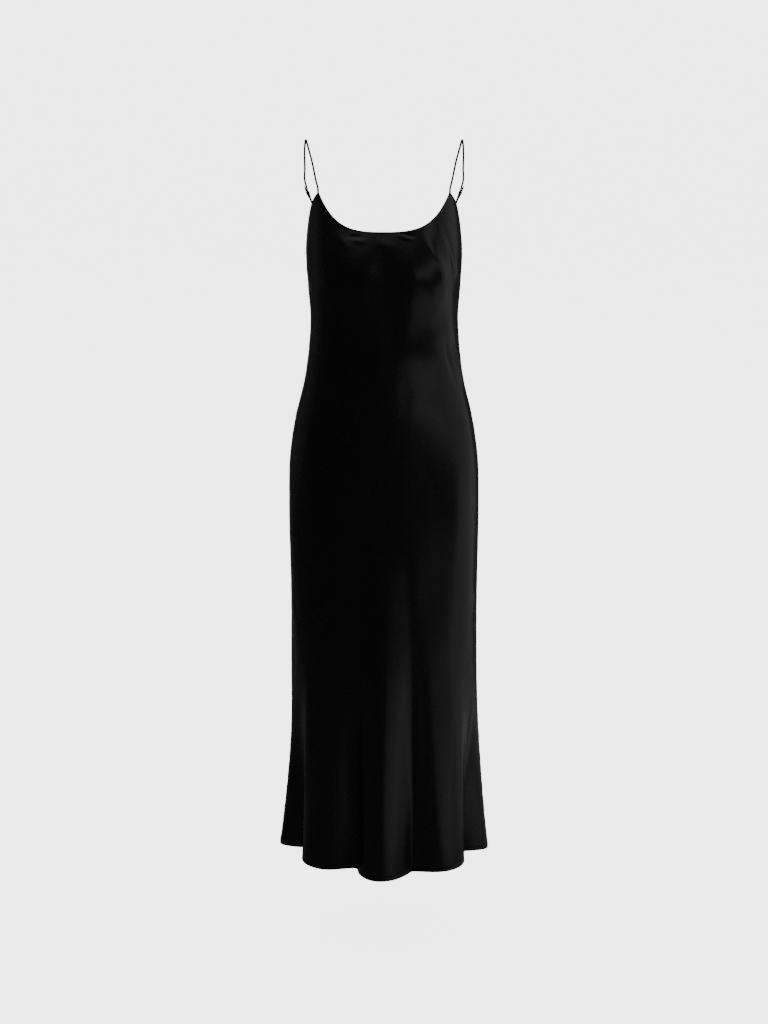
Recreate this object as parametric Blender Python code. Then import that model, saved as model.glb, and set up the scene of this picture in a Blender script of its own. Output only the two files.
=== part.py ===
"""Slip dress with a scooped front and thin adjustable straps, hollow, in its worn form.

Metres, +Z up.  The front faces -Y and the wearer's left side is at +X.  The origin is
the middle of the shoulder line, where the undersides of the two straps rest.

Two words give every place on the cloth.  "Drop" is how far it lies below the shoulder
line.  "Turn" is the angle round the dress in degrees: 0 at the centre front, 90 at the
wearer's left side seam, 180 at the centre back and -90 at the right side seam.
"""

import math
from collections import namedtuple

import bmesh
import bpy
import numpy as np
from mathutils import Matrix, Vector

# Cloth
CLOTH = 0.0015
SEAM_GAP = 0.0003
NARROWEST_REACH = 0.10
BINDING_WIDTH = 0.0034
BINDING_PROUD = 0.0004
STEEPEST_BINDING = 2.6

# Top edge.  The neck scoop and the dip of the back follow power curves between the
# strap points, and the table holds the edge between them, down under the arm.
NECK_DROP = 0.1575
NECK_FLATNESS = 3.0
BACK_CENTRE_DROP = 0.212
BACK_FLATNESS = 2.4
EdgePoint = namedtuple("EdgePoint", "turn drop")
ARMHOLE = (
    EdgePoint(66.0, 0.0883),
    EdgePoint(72.0, 0.0975),
    EdgePoint(78.0, 0.1110),
    EdgePoint(84.0, 0.1410),
    EdgePoint(90.0, 0.1800),
    EdgePoint(96.0, 0.2020),
    EdgePoint(103.0, 0.2070),
    EdgePoint(113.0, 0.1990),
    EdgePoint(124.0, 0.1740),
)
FRONT_PEAK_TURN, FRONT_PEAK_DROP = ARMHOLE[0]
BACK_POINT_TURN, BACK_POINT_DROP = ARMHOLE[-1]

# Hem: it hangs a little lower at the centres than at the sides, and lower on the left
HEM_DROP = 1.2482
HEM_DIP = 0.0063
HEM_TILT = 0.0025

# Cross-sections of the worn form.  Squareness 2 is an ellipse, more is boxier.
Section = namedtuple("Section", "drop half_width front back squareness")
SECTIONS = (
    Section(0.050, 0.1180, 0.0700, 0.0800, 2.50),
    Section(0.095, 0.1240, 0.0870, 0.0890, 2.60),
    Section(0.145, 0.1312, 0.1010, 0.0970, 2.50),
    Section(0.185, 0.1345, 0.1090, 0.1005, 2.40),
    Section(0.240, 0.1318, 0.1120, 0.0985, 2.35),
    Section(0.295, 0.1276, 0.1018, 0.0890, 2.30),
    Section(0.350, 0.1310, 0.0960, 0.0830, 2.15),
    Section(0.405, 0.1390, 0.0988, 0.0870, 2.12),
    Section(0.465, 0.1535, 0.1050, 0.1010, 2.22),
    Section(0.530, 0.1632, 0.1082, 0.1160, 2.40),
    Section(0.620, 0.1668, 0.1110, 0.1235, 2.50),
    Section(0.760, 0.1652, 0.1140, 0.1225, 2.50),
    Section(0.920, 0.1655, 0.1200, 0.1230, 2.45),
    Section(1.080, 0.1665, 0.1260, 0.1260, 2.38),
    Section(1.260, 0.1665, 0.1300, 0.1290, 2.30),
)

# Soft fullness that the bias cut gives over the bust
FULLNESS_TURN = 33.0
FULLNESS_SPREAD = 24.0
FULLNESS_DROP = 0.232
FULLNESS_REACH = 0.075
FULLNESS_RISE = 0.010

# Flutes and hollows of the skirt.  Rise is outwards, swell widens a flute over the
# hollows beside it and tilt leans it round the dress.  Each grows from its start drop
# down to the hem, late if its bend is high.
Fold = namedtuple("Fold", "turn spread rise swell tilt start bend")
FOLDS = (
    Fold(0.0, 23.0, 0.041, 0.005, -0.009, 0.69, 0.9),
    Fold(-26.5, 12.5, -0.014, 0.000, 0.000, 0.80, 1.3),
    Fold(-43.0, 24.0, 0.025, 0.004, -0.008, 0.76, 1.5),
    Fold(-71.0, 16.0, -0.038, 0.000, 0.002, 0.82, 1.7),
    Fold(-90.0, 26.0, 0.0225, 0.000, 0.016, 0.95, 2.0),
    Fold(27.0, 12.0, -0.004, 0.000, 0.000, 0.86, 1.5),
    Fold(42.0, 24.0, 0.024, 0.004, 0.004, 0.78, 1.5),
    Fold(71.0, 16.0, -0.033, 0.000, -0.002, 0.84, 1.7),
    Fold(90.0, 26.0, 0.0225, 0.000, -0.024, 0.92, 1.8),
    Fold(112.0, 16.0, -0.024, 0.000, -0.002, 0.86, 1.6),
    Fold(136.0, 20.0, 0.021, 0.004, -0.006, 0.76, 1.5),
    Fold(159.0, 13.0, -0.012, 0.000, 0.000, 0.84, 1.5),
    Fold(183.0, 21.0, 0.027, 0.005, 0.006, 0.70, 1.4),
    Fold(207.0, 13.0, -0.010, 0.000, 0.002, 0.88, 1.5),
    Fold(227.0, 20.0, 0.022, 0.004, 0.006, 0.78, 1.5),
    Fold(249.0, 15.0, -0.026, 0.000, 0.003, 0.90, 1.6),
)

# Columns and rows of the panels' faces
NECK_COLUMNS = 28
FRONT_SIDE_COLUMNS = 6
BACK_SIDE_COLUMNS = 6
BACK_COLUMNS = 24
PANEL_ROWS = 20
ROW_CROWDING = 1.15

# Straps, their sliders and their rings
STRAP_RADIUS = 0.0015
STRAP_POINTS = 30
BEND_POINTS = 9
STRAP_FACETS = 2
RING_FACETS = 1
RING_POINTS = 16
RING_RADIUS = 0.0045
RING_WIRE = 0.0007
SLIDER_WIDTH = 0.0070
SLIDER_HEIGHT = 0.0135
SLIDER_BAR = 0.0012
SLIDER_THICKNESS = 0.0012
RING_STANDOFF = 0.0078
TAB_FOOT = 0.0010
BACK_FACING = Vector((0.743, 0.669, 0.0))
STRAP_START = Vector((0.0006, 0.0012, 0.0024))
STRAP_ROUTE = (
    Vector((0.1149, -0.0445, -0.0689)),
    Vector((0.1185, -0.0395, -0.0518)),
    Vector((0.1224, -0.0325, -0.0345)),
    Vector((0.1275, -0.0218, -0.0167)),
    Vector((0.1334, -0.0040, STRAP_RADIUS)),
    Vector((0.1357, 0.0130, -0.0030)),
    Vector((0.1374, 0.0300, -0.0200)),
    Vector((0.1378, 0.0450, -0.0420)),
)
STRAP_AT_SLIDER = Vector((0.1345, 0.0600, -0.0760))

# Colours
BLACK_CLOTH = (0.012, 0.011, 0.013, 1.0)
BLACK_METAL = (0.020, 0.020, 0.022, 1.0)


def read_table(table, place):
    """Smooth curve through each column of a table whose first column is the place."""
    rows = np.array(table)
    places = rows[:, 0]
    values = rows[:, 1:]
    slopes = np.gradient(values, places, axis=0)
    index = np.clip(np.searchsorted(places, place) - 1, 0, len(places) - 2)
    step = (places[index + 1] - places[index])[..., None]
    t = np.asarray(place)[..., None] - places[index][..., None]
    t = np.clip(t / step, 0.0, 1.0)
    rise = values[index + 1] - values[index]
    blend = t * t * (3.0 - 2.0 * t)
    enter = t * (1.0 - t) ** 2 * step * slopes[index]
    leave = t * t * (t - 1.0) * step * slopes[index + 1]
    return values[index] + blend * rise + enter + leave


def turn_between(turn, centre):
    """Signed angle from a centre, the short way round."""
    return (turn - centre + 180.0) % 360.0 - 180.0


def section_reach(turn, drop):
    """Distance of the plain section from its middle: a squared ellipse in polar form."""
    half_width, front, back, squareness = np.moveaxis(read_table(SECTIONS, drop), -1, 0)
    angle = np.radians(turn)
    depth = np.where(np.cos(angle) > 0.0, front, back)
    across = (np.abs(np.sin(angle)) / half_width) ** squareness
    along = (np.abs(np.cos(angle)) / depth) ** squareness
    return (across + along) ** (-1.0 / squareness)


def fullness(turn, drop):
    """Outward swell over the bust: two round hills that fade to nothing."""
    sideways = (np.abs(turn_between(turn, 0.0)) - FULLNESS_TURN) / FULLNESS_SPREAD
    upward = (drop - FULLNESS_DROP) / FULLNESS_REACH
    return FULLNESS_RISE * np.exp(-sideways ** 2 - upward ** 2)


def hem_drop(turn):
    """Drop of the hem: a shallow double wave round the dress, and a slight tilt."""
    angle = np.radians(turn)
    return HEM_DROP + HEM_DIP * np.cos(2.0 * angle) + HEM_TILT * np.sin(angle)


def fold_shape(turn, drop):
    """Outward and sideways moves of the skirt's flutes, as cosine waves that grow down."""
    outward = np.zeros(np.broadcast(turn, drop).shape)
    sideways = np.zeros_like(outward)
    for fold in FOLDS:
        share = np.clip((drop - fold.start) / (HEM_DROP - fold.start), 0.0, 1.1)
        growth = share ** fold.bend
        across = np.clip(turn_between(turn, fold.turn) / fold.spread, -1.0, 1.0)
        hill = 0.5 * (1.0 + np.cos(math.pi * across))
        outward += fold.rise * growth * hill
        sideways += growth * (fold.swell * np.sin(math.pi * across) + fold.tilt * hill)
    return outward, sideways


def cloth_point(turn, drop):
    """Places on the outer face of the cloth, for arrays of turns and drops."""
    angle = np.radians(turn)
    outward, sideways = fold_shape(turn, drop)
    reach = section_reach(turn, drop) + fullness(turn, drop) + outward
    x = reach * np.sin(angle) + sideways * np.cos(angle)
    y = -reach * np.cos(angle) + sideways * np.sin(angle)
    z = np.broadcast_to(-drop, x.shape)
    return np.stack((x, y, z), axis=-1)


def cloth_normal(turn, drop):
    """Outward normals of the cloth, from small steps round it and down it."""
    round_step = cloth_point(turn + 0.2, drop) - cloth_point(turn - 0.2, drop)
    down_step = cloth_point(turn, drop + 0.001) - cloth_point(turn, drop - 0.001)
    normal = np.cross(down_step, round_step)
    return normal / np.linalg.norm(normal, axis=-1, keepdims=True)


def top_drop(turn):
    """Drop of the finished top edge: neck scoop, armholes and low back in one line."""
    away = np.abs(turn_between(turn, 0.0))
    level = np.full_like(away, NECK_DROP)
    sideways = section_reach(away, level) * np.sin(np.radians(away))
    peak_sideways = section_reach(FRONT_PEAK_TURN, level) * math.sin(math.radians(FRONT_PEAK_TURN))
    share = np.clip(sideways / peak_sideways, 0.0, 1.0)
    neck = NECK_DROP + (FRONT_PEAK_DROP - NECK_DROP) * share ** NECK_FLATNESS

    armhole = read_table(ARMHOLE, away)[..., 0]

    inner = np.clip((180.0 - away) / (180.0 - BACK_POINT_TURN), 0.0, 1.0)
    back = BACK_CENTRE_DROP + (BACK_POINT_DROP - BACK_CENTRE_DROP) * inner ** BACK_FLATNESS
    return np.select([away <= FRONT_PEAK_TURN, away <= BACK_POINT_TURN], [neck, armhole], back)


def binding_height(turn):
    """Height of the binding: its width along the level, more where its edge is steep."""
    step = 1.0
    arc = np.radians(step) * section_reach(turn, np.full_like(turn, NECK_DROP))
    here = top_drop(turn)
    after = np.abs(top_drop(turn + step) - here) / arc
    before = np.abs(here - top_drop(turn - step)) / arc
    slope = np.maximum(after, before)
    return BINDING_WIDTH * np.minimum(np.sqrt(1.0 + slope ** 2), STEEPEST_BINDING)


def clear_scene():
    for item in list(bpy.data.objects):
        bpy.data.objects.remove(item, do_unlink=True)


def finish_material(name, colour, roughness, metallic):
    material = bpy.data.materials.new(name)
    material.use_nodes = True
    shader = material.node_tree.nodes["Principled BSDF"]
    shader.inputs["Base Color"].default_value = colour
    shader.inputs["Roughness"].default_value = roughness
    shader.inputs["Metallic"].default_value = metallic
    return material


def add_object(name, data, material):
    item = bpy.data.objects.new(name, data)
    bpy.context.scene.collection.objects.link(item)
    data.materials.append(material)
    return item


def wall_object(name, outer, inner, material):
    """Closed wall between two grids of points that have the same rows and columns."""
    rows, columns = outer.shape[:2]
    points = np.concatenate((outer.reshape(-1, 3), inner.reshape(-1, 3)))
    index = np.arange(rows * columns).reshape(rows, columns)
    behind = index + rows * columns

    def strips(grid):
        return np.stack((grid[:-1, :-1], grid[1:, :-1], grid[1:, 1:], grid[:-1, 1:]), -1)

    def rim(line, back_line):
        return np.stack((line[:-1], line[1:], back_line[1:], back_line[:-1]), -1)

    outline = np.concatenate((index[0, :-1], index[:-1, -1], index[-1, :0:-1], index[:0:-1, 0]))
    outline = np.append(outline, outline[0])
    faces = np.concatenate((
        strips(index).reshape(-1, 4),
        strips(behind).reshape(-1, 4)[:, ::-1],
        rim(outline, outline + rows * columns),
    ))
    mesh = bpy.data.meshes.new(name)
    mesh.from_pydata(points.tolist(), [], faces.tolist())
    mesh.validate()
    mesh.shade_smooth()
    mesh.set_sharp_from_angle(angle=math.radians(40.0))
    return add_object(name, mesh, material)


def with_end_gaps(turns):
    """The same turns, with both ends drawn in by half of the gap at a seam."""
    turns = turns.copy()
    end_gap = math.degrees(SEAM_GAP / 2.0 / NARROWEST_REACH)
    turns[0] += end_gap
    turns[-1] -= end_gap
    return turns


def panel_object(name, turns, material):
    """One panel from side seam to side seam, from under its binding to the hem."""
    turns = with_end_gaps(turns)
    share = np.linspace(0.0, 1.0, PANEL_ROWS + 1)[:, None] ** ROW_CROWDING
    turn = np.broadcast_to(turns, (PANEL_ROWS + 1, len(turns)))
    top = top_drop(turn) + binding_height(turn) + SEAM_GAP
    drop = top + share * (hem_drop(turn) - top)
    outer = cloth_point(turn, drop)
    inner = outer - CLOTH * cloth_normal(turn, drop)
    return wall_object(name, outer, inner, material)


def binding_object(name, turns, material):
    """Band along the top edge, a little thicker than the cloth that it binds."""
    turns = with_end_gaps(turns)
    share = np.array([[0.0], [1.0]])
    turn = np.broadcast_to(turns, (2, len(turns)))
    drop = top_drop(turn) + share * binding_height(turn)
    face = cloth_point(turn, drop)
    normal = cloth_normal(turn, drop)
    outer = face + BINDING_PROUD * normal
    inner = face - (CLOTH + BINDING_PROUD) * normal
    return wall_object(name, outer, inner, material)


def smooth_route(corners, count):
    """Evenly spaced points on a smooth curve through a route's own points."""
    corners = np.array(corners)
    runs = np.linalg.norm(np.diff(corners, axis=0), axis=1)
    place = np.concatenate(([0.0], np.cumsum(runs)))
    table = np.column_stack((place, corners))
    return read_table(table, np.linspace(0.0, place[-1], count))


def tube_object(name, points, radius, facets, material, closed=False):
    """Round rouleau or wire along a line of points."""
    curve = bpy.data.curves.new(name, "CURVE")
    curve.dimensions = "3D"
    curve.bevel_depth = radius
    curve.bevel_resolution = facets
    curve.render_resolution_u = 0
    curve.use_fill_caps = True
    spline = curve.splines.new("POLY")
    spline.points.add(len(points) - 1)
    for target, point in zip(spline.points, points):
        target.co = (*point, 1.0)
    spline.use_cyclic_u = closed
    return add_object(name, curve, material)


def slider_object(name, centre, facing, along, material):
    """Flat frame with a middle bar and two windows, which lies along the strap."""
    half = SLIDER_WIDTH / 2.0
    tall = SLIDER_HEIGHT / 2.0
    across = (-half, -half + SLIDER_BAR, half - SLIDER_BAR, half)
    upward = (-tall, -tall + SLIDER_BAR, -SLIDER_BAR / 2.0, SLIDER_BAR / 2.0, tall - SLIDER_BAR, tall)
    mesh = bpy.data.meshes.new(name)
    form = bmesh.new()
    grid = [[form.verts.new((x, 0.0, z)) for x in across] for z in upward]
    for row in range(len(upward) - 1):
        for column in range(len(across) - 1):
            if column == 1 and row in (1, 3):
                continue
            form.faces.new((
                grid[row][column],
                grid[row][column + 1],
                grid[row + 1][column + 1],
                grid[row + 1][column],
            ))
    whole = bmesh.ops.extrude_face_region(form, geom=form.faces[:])
    moved = [item for item in whole["geom"] if isinstance(item, bmesh.types.BMVert)]
    bmesh.ops.translate(form, verts=moved, vec=(0.0, SLIDER_THICKNESS, 0.0))
    bmesh.ops.translate(form, verts=form.verts[:], vec=(0.0, -SLIDER_THICKNESS / 2.0, 0.0))
    bmesh.ops.recalc_face_normals(form, faces=form.faces[:])
    form.to_mesh(mesh)
    form.free()
    item = add_object(name, mesh, material)
    across = facing.cross(along)
    turned = Matrix((across, facing, along)).transposed().to_4x4()
    item.matrix_world = Matrix.Translation(centre) @ turned
    return item


def mirrored(points, side):
    """The same points on the wearer's left (1) or right (-1)."""
    return [Vector((point[0] * side, point[1], point[2])) for point in points]


def edge_point(turn, drop):
    return Vector(cloth_point(np.full(1, turn), np.full(1, drop))[0])


def half_turn(centre, start, over, reach):
    """Points of a half circle from start, over the side that over points to."""
    angles = np.linspace(0.0, math.pi, BEND_POINTS)
    return [centre + reach * (math.cos(a) * start + math.sin(a) * over) for a in angles]


def build_strap(side, name, cloth, metal):
    """Strap, doubled strap, slider, ring and ring tab of one side.

    The ring, the doubled strap and the slider lie on one taut line, which rises from
    the back edge of the dress.
    """
    back = edge_point(BACK_POINT_TURN, BACK_POINT_DROP) - BACK_FACING * (CLOTH / 2.0)
    along = (STRAP_AT_SLIDER - back).normalized()
    outward = (BACK_FACING - BACK_FACING.dot(along) * along).normalized()
    ring = back + along * RING_STANDOFF
    ring_top = ring + along * RING_RADIUS
    ring_bottom = ring - along * RING_RADIUS
    bend = STRAP_RADIUS + RING_WIRE + SEAM_GAP

    peak = edge_point(FRONT_PEAK_TURN, FRONT_PEAK_DROP)
    straight = STRAP_AT_SLIDER + along * SLIDER_HEIGHT
    route = [peak + STRAP_START, *STRAP_ROUTE, straight, STRAP_AT_SLIDER]
    strap = smooth_route(route, STRAP_POINTS)
    tube_object(f"{name}_strap", mirrored(strap, side), STRAP_RADIUS, STRAP_FACETS, cloth)

    beside = STRAP_RADIUS + SLIDER_THICKNESS / 2.0 + SEAM_GAP
    slider = STRAP_AT_SLIDER + outward * beside
    loop = [STRAP_AT_SLIDER - along * SEAM_GAP]
    loop += half_turn(ring_top, -outward, -along, bend)
    loop += [slider - along * (SLIDER_HEIGHT / 2.0 + SEAM_GAP)]
    tube_object(f"{name}_strap_loop", mirrored(loop, side), STRAP_RADIUS, STRAP_FACETS, cloth)

    foot = back + along * TAB_FOOT
    tab = [foot - outward * bend]
    tab += half_turn(ring_bottom, -outward, along, bend)
    tab += [foot + outward * bend]
    tube_object(f"{name}_ring_tab", mirrored(tab, side), STRAP_RADIUS, STRAP_FACETS, cloth)

    across = outward.cross(along)
    circle = []
    for angle in np.linspace(0.0, 2.0 * math.pi, RING_POINTS, endpoint=False):
        circle.append(ring + RING_RADIUS * (math.cos(angle) * across + math.sin(angle) * along))
    tube_object(f"{name}_ring", mirrored(circle, side), RING_WIRE, RING_FACETS, metal, closed=True)

    centre, facing, upright = mirrored([slider, outward, along], side)
    slider_object(f"{name}_slider", centre, facing, upright, metal)


def main():
    clear_scene()
    satin = finish_material("black_satin", BLACK_CLOTH, 0.38, 0.0)
    binding = finish_material("binding_satin", BLACK_CLOTH, 0.42, 0.0)
    strap = finish_material("strap_satin", BLACK_CLOTH, 0.45, 0.0)
    metal = finish_material("black_enamel", BLACK_METAL, 0.30, 0.6)

    neck = np.linspace(-FRONT_PEAK_TURN, FRONT_PEAK_TURN, NECK_COLUMNS + 1)
    front_side = np.linspace(FRONT_PEAK_TURN, 90.0, FRONT_SIDE_COLUMNS + 1)
    back_side = np.linspace(90.0, BACK_POINT_TURN, BACK_SIDE_COLUMNS + 1)
    back = np.linspace(BACK_POINT_TURN, 360.0 - BACK_POINT_TURN, BACK_COLUMNS + 1)
    front_turns = np.concatenate((-front_side[:0:-1], neck, front_side[1:]))
    back_turns = np.concatenate((back_side[:-1], back, 360.0 - back_side[-2::-1]))
    panel_object("front_panel", front_turns, satin)
    panel_object("back_panel", back_turns, satin)

    armhole = np.concatenate((front_side, back_side[1:]))
    binding_object("neck_binding", neck, binding)
    binding_object("left_armhole_binding", armhole, binding)
    binding_object("right_armhole_binding", -armhole[::-1], binding)
    binding_object("back_binding", back, binding)

    build_strap(1, "left", strap, metal)
    build_strap(-1, "right", strap, metal)


main()
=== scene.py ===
"""Looks of a slip dress: bias-cut black satin, narrow bindings, rouleau straps and hardware.

Metres, +Z up.  The front faces -Y and the wearer's left side is at +X.  "Drop" is how far a
place lies below the shoulder line.  "Turn" is the angle round the dress in degrees: 0 at
the centre front, 90 at the wearer's left side seam, 180 at the centre back and -90 at the
right side seam.  "Relief" is a small height above or below the plain draped form.
"""

import math
from collections import namedtuple

import bpy
import numpy as np
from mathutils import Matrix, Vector


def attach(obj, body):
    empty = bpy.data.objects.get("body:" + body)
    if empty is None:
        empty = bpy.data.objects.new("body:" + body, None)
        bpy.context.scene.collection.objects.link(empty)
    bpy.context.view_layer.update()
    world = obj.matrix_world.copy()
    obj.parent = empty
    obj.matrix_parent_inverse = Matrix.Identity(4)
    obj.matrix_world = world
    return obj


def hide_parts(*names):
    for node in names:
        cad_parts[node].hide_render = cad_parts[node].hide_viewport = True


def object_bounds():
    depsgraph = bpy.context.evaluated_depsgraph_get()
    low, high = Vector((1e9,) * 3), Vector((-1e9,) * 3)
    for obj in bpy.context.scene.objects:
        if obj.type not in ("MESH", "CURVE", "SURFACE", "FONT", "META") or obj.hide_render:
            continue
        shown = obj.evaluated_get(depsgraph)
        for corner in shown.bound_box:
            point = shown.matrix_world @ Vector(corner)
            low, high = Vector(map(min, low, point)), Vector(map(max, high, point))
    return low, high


bl_info = {
    "name": "Slip Dress",
    "version": (1, 0, 0),
    "blender": (4, 5, 0),
    "location": "3D View > Sidebar > Slip Dress",
    "description": "Makes the satin panels, bindings, straps and hardware of a slip dress",
    "category": "Object",
}

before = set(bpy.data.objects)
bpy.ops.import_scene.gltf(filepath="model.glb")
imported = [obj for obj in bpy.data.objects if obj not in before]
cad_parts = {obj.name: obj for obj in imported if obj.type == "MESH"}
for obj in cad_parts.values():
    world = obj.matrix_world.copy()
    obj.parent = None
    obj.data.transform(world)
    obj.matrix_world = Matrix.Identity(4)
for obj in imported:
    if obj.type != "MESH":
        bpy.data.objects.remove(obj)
CAD_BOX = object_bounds()
BODY = "root"

# Cloth of the solids, and the finer cloth that shows
SOLID_CLOTH = 0.0015
SEAM_GAP = 0.0003
BINDING_WIDTH = 0.0034
STEEPEST_BINDING = 2.6
PANEL_START = 0.35
STITCH_LINE = 0.78
GROOVE_WIDTH = 0.00035

# Top edge
NECK_DROP = 0.1575
NECK_FLATNESS = 3.0
BACK_CENTRE_DROP = 0.212
BACK_FLATNESS = 2.4
EdgePoint = namedtuple("EdgePoint", "turn drop")
ARMHOLE = (
    EdgePoint(66.0, 0.0883),
    EdgePoint(72.0, 0.0975),
    EdgePoint(78.0, 0.1110),
    EdgePoint(84.0, 0.1410),
    EdgePoint(90.0, 0.1800),
    EdgePoint(96.0, 0.2020),
    EdgePoint(103.0, 0.2070),
    EdgePoint(113.0, 0.1990),
    EdgePoint(124.0, 0.1740),
)
PEAK_TURN, PEAK_DROP = ARMHOLE[0]
BACK_POINT_TURN, BACK_POINT_DROP = ARMHOLE[-1]
SIDE_TURN = 90.0

# Hem
HEM_DROP = 1.2482
HEM_DIP = 0.0063
HEM_TILT = 0.0025

# Cross-sections of the worn form.  Squareness 2 is an ellipse, more is boxier.
Section = namedtuple("Section", "drop half_width front back squareness")
SECTIONS = (
    Section(0.050, 0.1180, 0.0700, 0.0800, 2.50),
    Section(0.095, 0.1240, 0.0870, 0.0890, 2.60),
    Section(0.145, 0.1312, 0.1010, 0.0970, 2.50),
    Section(0.185, 0.1345, 0.1090, 0.1005, 2.40),
    Section(0.240, 0.1318, 0.1120, 0.0985, 2.35),
    Section(0.295, 0.1276, 0.1018, 0.0890, 2.30),
    Section(0.350, 0.1310, 0.0960, 0.0830, 2.15),
    Section(0.405, 0.1390, 0.0988, 0.0870, 2.12),
    Section(0.465, 0.1535, 0.1050, 0.1010, 2.22),
    Section(0.530, 0.1632, 0.1082, 0.1160, 2.40),
    Section(0.620, 0.1668, 0.1110, 0.1235, 2.50),
    Section(0.760, 0.1652, 0.1140, 0.1225, 2.50),
    Section(0.920, 0.1655, 0.1200, 0.1230, 2.45),
    Section(1.080, 0.1665, 0.1260, 0.1260, 2.38),
    Section(1.260, 0.1665, 0.1300, 0.1290, 2.30),
)
FULLNESS_TURN = 33.0
FULLNESS_SPREAD = 24.0
FULLNESS_DROP = 0.232
FULLNESS_REACH = 0.075
FULLNESS_RISE = 0.010

# Flutes and hollows of the skirt
Fold = namedtuple("Fold", "turn spread rise swell tilt start bend")
FOLDS = (
    Fold(0.0, 23.0, 0.041, 0.005, -0.009, 0.69, 0.9),
    Fold(-26.5, 12.5, -0.014, 0.000, 0.000, 0.80, 1.3),
    Fold(-43.0, 24.0, 0.025, 0.004, -0.008, 0.76, 1.5),
    Fold(-71.0, 16.0, -0.038, 0.000, 0.002, 0.82, 1.7),
    Fold(-90.0, 26.0, 0.0225, 0.000, 0.016, 0.95, 2.0),
    Fold(27.0, 12.0, -0.004, 0.000, 0.000, 0.86, 1.5),
    Fold(42.0, 24.0, 0.024, 0.004, 0.004, 0.78, 1.5),
    Fold(71.0, 16.0, -0.033, 0.000, -0.002, 0.84, 1.7),
    Fold(90.0, 26.0, 0.0225, 0.000, -0.024, 0.92, 1.8),
    Fold(112.0, 16.0, -0.024, 0.000, -0.002, 0.86, 1.6),
    Fold(136.0, 20.0, 0.021, 0.004, -0.006, 0.76, 1.5),
    Fold(159.0, 13.0, -0.012, 0.000, 0.000, 0.84, 1.5),
    Fold(183.0, 21.0, 0.027, 0.005, 0.006, 0.70, 1.4),
    Fold(207.0, 13.0, -0.010, 0.000, 0.002, 0.88, 1.5),
    Fold(227.0, 20.0, 0.022, 0.004, 0.006, 0.78, 1.5),
    Fold(249.0, 15.0, -0.026, 0.000, 0.003, 0.90, 1.6),
)

# Creases: soft ridges (rise above 0) and troughs, each along a line from its first place to
# its last, bowed sideways in the middle, with a width that may change on the way.
Crease = namedtuple("Crease", "turn drop end_turn end_drop width end_width bow rise")
FRONT_CREASES = (
    # drags below the neck scoop
    Crease(-33.0, 0.1640, -16.0, 0.1655, 0.0022, 0.0030, 0.001, -0.0011),
    Crease(-30.0, 0.1690, -12.0, 0.1740, 0.0026, 0.0045, 0.001, 0.0009),
    Crease(10.0, 0.1620, 24.0, 0.1730, 0.0022, 0.0036, -0.001, 0.0011),
    Crease(14.0, 0.1600, 30.0, 0.1680, 0.0020, 0.0030, -0.001, -0.0009),
    Crease(-44.0, 0.1500, -22.0, 0.1900, 0.0060, 0.0100, 0.003, 0.0010),
    Crease(-8.0, 0.1650, 12.0, 0.1900, 0.0080, 0.0110, 0.003, 0.0010),
    # pull from the left strap across the bust to the underarm, with a hollow beside it
    Crease(30.0, 0.1480, 54.0, 0.2850, 0.0105, 0.0115, -0.003, 0.0032),
    Crease(47.0, 0.1250, 66.0, 0.2550, 0.0062, 0.0080, -0.002, -0.0018),
    Crease(24.0, 0.2500, 62.0, 0.2950, 0.0130, 0.0160, 0.004, 0.0010),
    # soft pulls from the underarm to the front
    Crease(88.0, 0.2050, 58.0, 0.2420, 0.0050, 0.0100, 0.003, 0.0011),
    Crease(87.0, 0.2230, 60.0, 0.2700, 0.0060, 0.0100, 0.002, -0.0010),
    Crease(-88.0, 0.2080, -60.0, 0.2500, 0.0050, 0.0095, -0.003, 0.0010),
    Crease(-87.0, 0.2300, -62.0, 0.2780, 0.0060, 0.0090, -0.002, -0.0009),
    # slack at the waist
    Crease(84.0, 0.3050, 30.0, 0.3550, 0.0100, 0.0180, 0.006, 0.0013),
    Crease(86.0, 0.3400, 44.0, 0.3860, 0.0090, 0.0150, 0.004, -0.0012),
    Crease(56.0, 0.3100, 73.0, 0.4400, 0.0060, 0.0075, 0.002, -0.0018),
    Crease(70.0, 0.3100, 84.0, 0.4500, 0.0055, 0.0070, 0.003, 0.0017),
    Crease(-84.0, 0.3120, -34.0, 0.3500, 0.0100, 0.0170, -0.005, 0.0011),
    Crease(-86.0, 0.3500, -46.0, 0.3920, 0.0090, 0.0150, -0.004, -0.0010),
    Crease(-20.0, 0.3000, 26.0, 0.3220, 0.0140, 0.0180, 0.004, -0.0010),
    # drags from the hips down into the flutes
    Crease(84.0, 0.7400, 66.0, 0.8350, 0.0045, 0.0080, 0.003, 0.0014),
    Crease(87.0, 0.7750, 72.0, 0.8900, 0.0040, 0.0070, 0.003, -0.0012),
    Crease(80.0, 0.8300, 63.0, 0.9300, 0.0045, 0.0080, 0.002, 0.0011),
    Crease(76.0, 0.9400, 70.0, 1.1200, 0.0040, 0.0060, 0.002, 0.0012),
    Crease(-82.0, 0.7600, -66.0, 0.8700, 0.0050, 0.0080, -0.003, 0.0012),
    Crease(-86.0, 0.8000, -72.0, 0.9300, 0.0045, 0.0070, -0.003, -0.0010),
    Crease(-58.0, 0.8200, -52.0, 1.1500, 0.0080, 0.0110, -0.003, 0.0012),
    Crease(-14.0, 0.7900, -15.0, 1.1000, 0.0070, 0.0090, 0.002, -0.0010),
    Crease(30.0, 0.8600, 29.0, 1.1700, 0.0070, 0.0090, -0.002, -0.0010),
    Crease(52.0, 0.8600, 48.0, 1.1600, 0.0080, 0.0100, 0.003, 0.0011),
)
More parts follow.
